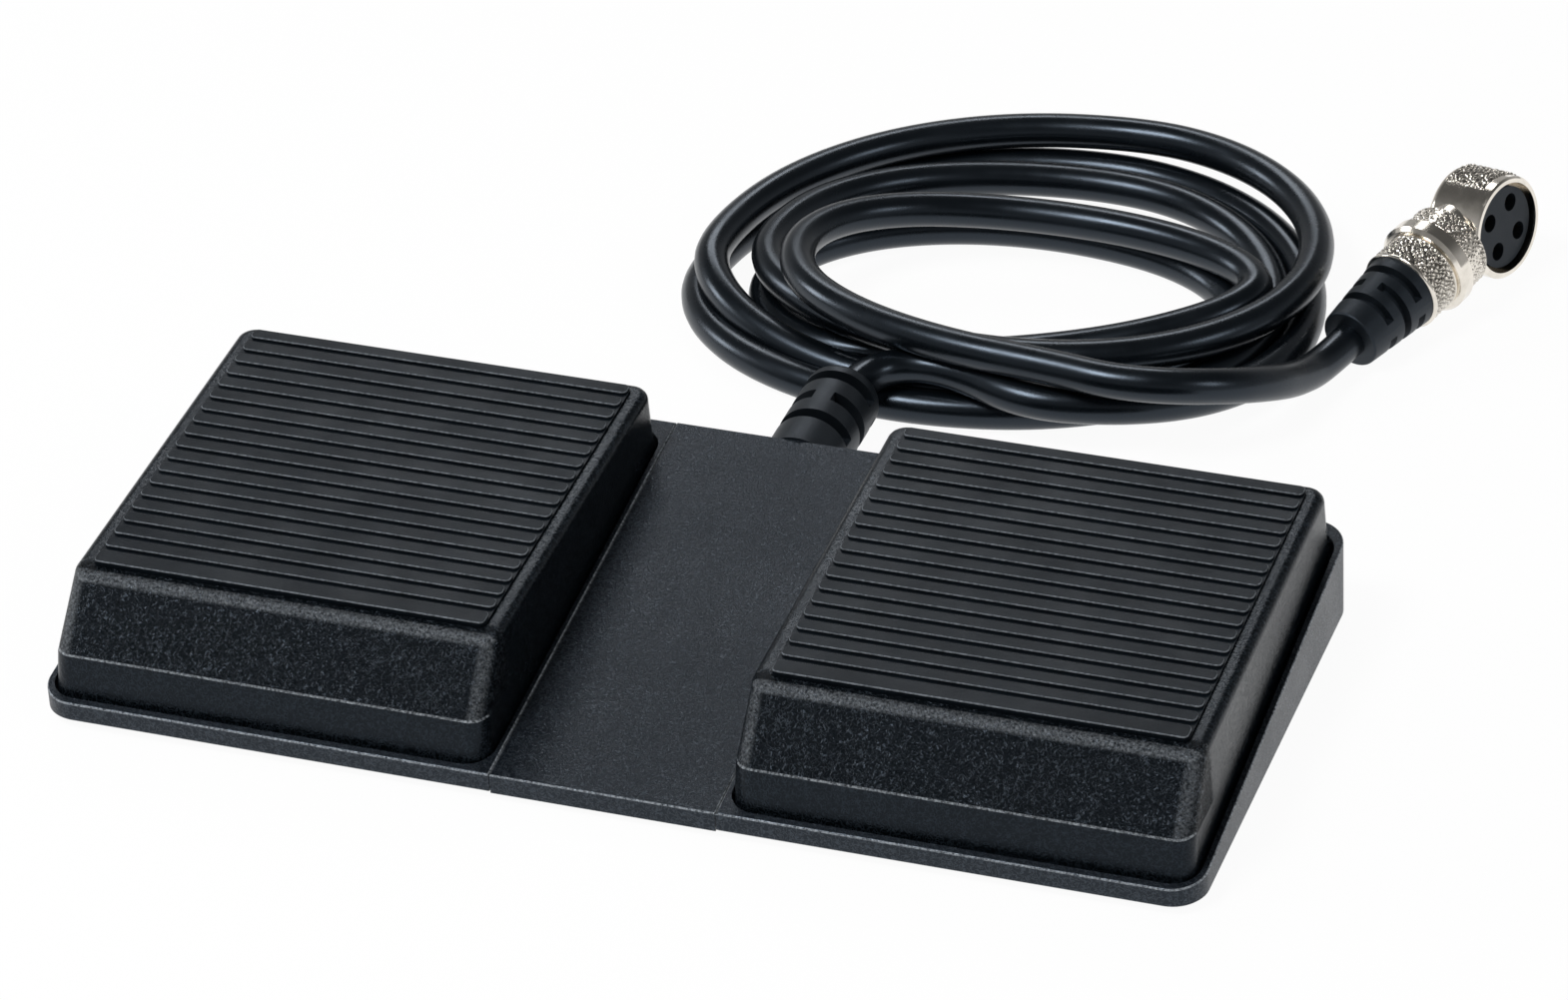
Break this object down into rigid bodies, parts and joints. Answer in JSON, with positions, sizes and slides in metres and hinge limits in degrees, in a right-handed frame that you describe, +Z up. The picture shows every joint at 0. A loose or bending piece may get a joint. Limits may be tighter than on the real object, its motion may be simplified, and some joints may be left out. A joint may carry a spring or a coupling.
{
  "type": "foot pedal",
  "caption": "Twin foot pedal switch: two ribbed rocking pedals in a low wedge base, with a coiled cord and a round right-angle plug.",
  "frame": {"origin": "on the floor under the middle of the base, at the bottom of its feet", "axes": "+X to the user's right along the pair of pedals, +Y from the heel edge to the cord, +Z up"},
  "size_m": [0.2243, 0.2385, 0.0297],
  "materials": {
    "base_plastic": "black ABS with a leather grain",
    "pedal_plastic": "black ABS, smooth skirt and grained bevel",
    "tread_rubber": "black ribbed rubber",
    "foot_rubber": "black rubber",
    "bumper_rubber": "dark grey rubber",
    "pin_steel": "ground steel",
    "clip_steel": "spring steel",
    "spring_steel": "bright spring steel",
    "screw_steel": "zinc plated steel",
    "switch_plastic": "dark moulded plastic",
    "button_plastic": "red moulded plastic",
    "terminal_brass": "bare brass",
    "block_plastic": "ivory moulded plastic",
    "clamp_plastic": "black moulded plastic",
    "lead_insulation": "grey insulation",
    "gland_rubber": "matt black moulded rubber",
    "cord_jacket": "satin black jacket",
    "plug_nickel": "satin nickel plate",
    "insert_plastic": "black insulating plastic",
    "contact_gold": "plated contacts"
  },
  "bodies": {
    "base": {"left_tray": "base_plastic", "right_tray": "base_plastic", "left_feet": "foot_rubber", "right_feet": "foot_rubber", "left_hinge_pin": "pin_steel", "right_hinge_pin": "pin_steel", "left_pin_clips": "clip_steel", "right_pin_clips": "clip_steel", "left_return_springs": "spring_steel", "right_return_springs": "spring_steel", "left_bumper": "bumper_rubber", "right_bumper": "bumper_rubber", "left_switch_case": "switch_plastic", "right_switch_case": "switch_plastic", "left_switch_terminals": "terminal_brass", "right_switch_terminals": "terminal_brass", "left_switch_screws": "screw_steel", "right_switch_screws": "screw_steel", "left_leads": "lead_insulation", "right_leads": "lead_insulation", "bridge_cover": "base_plastic", "bridge_floor": "base_plastic", "tie_screws": "screw_steel", "floor_screws": "screw_steel", "terminal_block": "block_plastic", "terminal_screws": "terminal_brass", "cord_clamp": "clamp_plastic", "clamp_screws": "screw_steel", "conductors": "lead_insulation", "cord_gland": "gland_rubber", "cord_tail": "cord_jacket", "cord_lead": "cord_jacket", "cord_coil": "cord_jacket", "plug_lead": "cord_jacket", "plug_boot": "gland_rubber", "plug_nut": "plug_nickel", "plug_collar": "plug_nickel", "plug_body": "plug_nickel", "plug_insert": "insert_plastic", "plug_contacts": "contact_gold"},
    "left_pedal": {"left_pedal": "pedal_plastic", "left_tread": "tread_rubber"},
    "left_lever": {"left_switch_lever": "spring_steel"},
    "left_button": {"left_switch_button": "button_plastic"},
    "right_pedal": {"right_pedal": "pedal_plastic", "right_tread": "tread_rubber"},
    "right_lever": {"right_switch_lever": "spring_steel"},
    "right_button": {"right_switch_button": "button_plastic"}
  },
  "joints": [
    {"name": "left_pedal_hinge", "type": "hinge", "parent": "base", "child": "left_pedal", "pos_m": [-0.06575, -0.041, 0.0075], "axis": [-1, 0, 0], "range_deg": [0, 3.5], "stiffness_Nm_per_rad": 6, "springref_deg": -6.88, "deforming": ["left_return_springs"]},
    {"name": "left_lever_hinge", "type": "hinge", "parent": "base", "child": "left_lever", "pos_m": [-0.06575, 0.002, 0.0181], "axis": [-1, 0, 0], "range_deg": [0, 14]},
    {"name": "left_button_slide", "type": "slide", "parent": "base", "child": "left_button", "axis": [0, 0, -1], "range_m": [0, 0.0012]},
    {"name": "right_pedal_hinge", "type": "hinge", "parent": "base", "child": "right_pedal", "pos_m": [0.06575, -0.041, 0.0075], "axis": [-1, 0, 0], "range_deg": [0, 3.5], "stiffness_Nm_per_rad": 6, "springref_deg": -6.88, "deforming": ["right_return_springs"]},
    {"name": "right_lever_hinge", "type": "hinge", "parent": "base", "child": "right_lever", "pos_m": [0.06575, 0.002, 0.0181], "axis": [-1, 0, 0], "range_deg": [0, 14]},
    {"name": "right_button_slide", "type": "slide", "parent": "base", "child": "right_button", "axis": [0, 0, -1], "range_m": [0, 0.0012]}
  ],
  "couplings": [
    {"joint": "left_lever_hinge", "follows": "left_pedal_hinge", "ratio": 3.857},
    {"joint": "left_button_slide", "follows": "left_pedal_hinge", "m_per_rad": 0.01915},
    {"joint": "right_lever_hinge", "follows": "right_pedal_hinge", "ratio": 3.857},
    {"joint": "right_button_slide", "follows": "right_pedal_hinge", "m_per_rad": 0.01915}
  ]
}
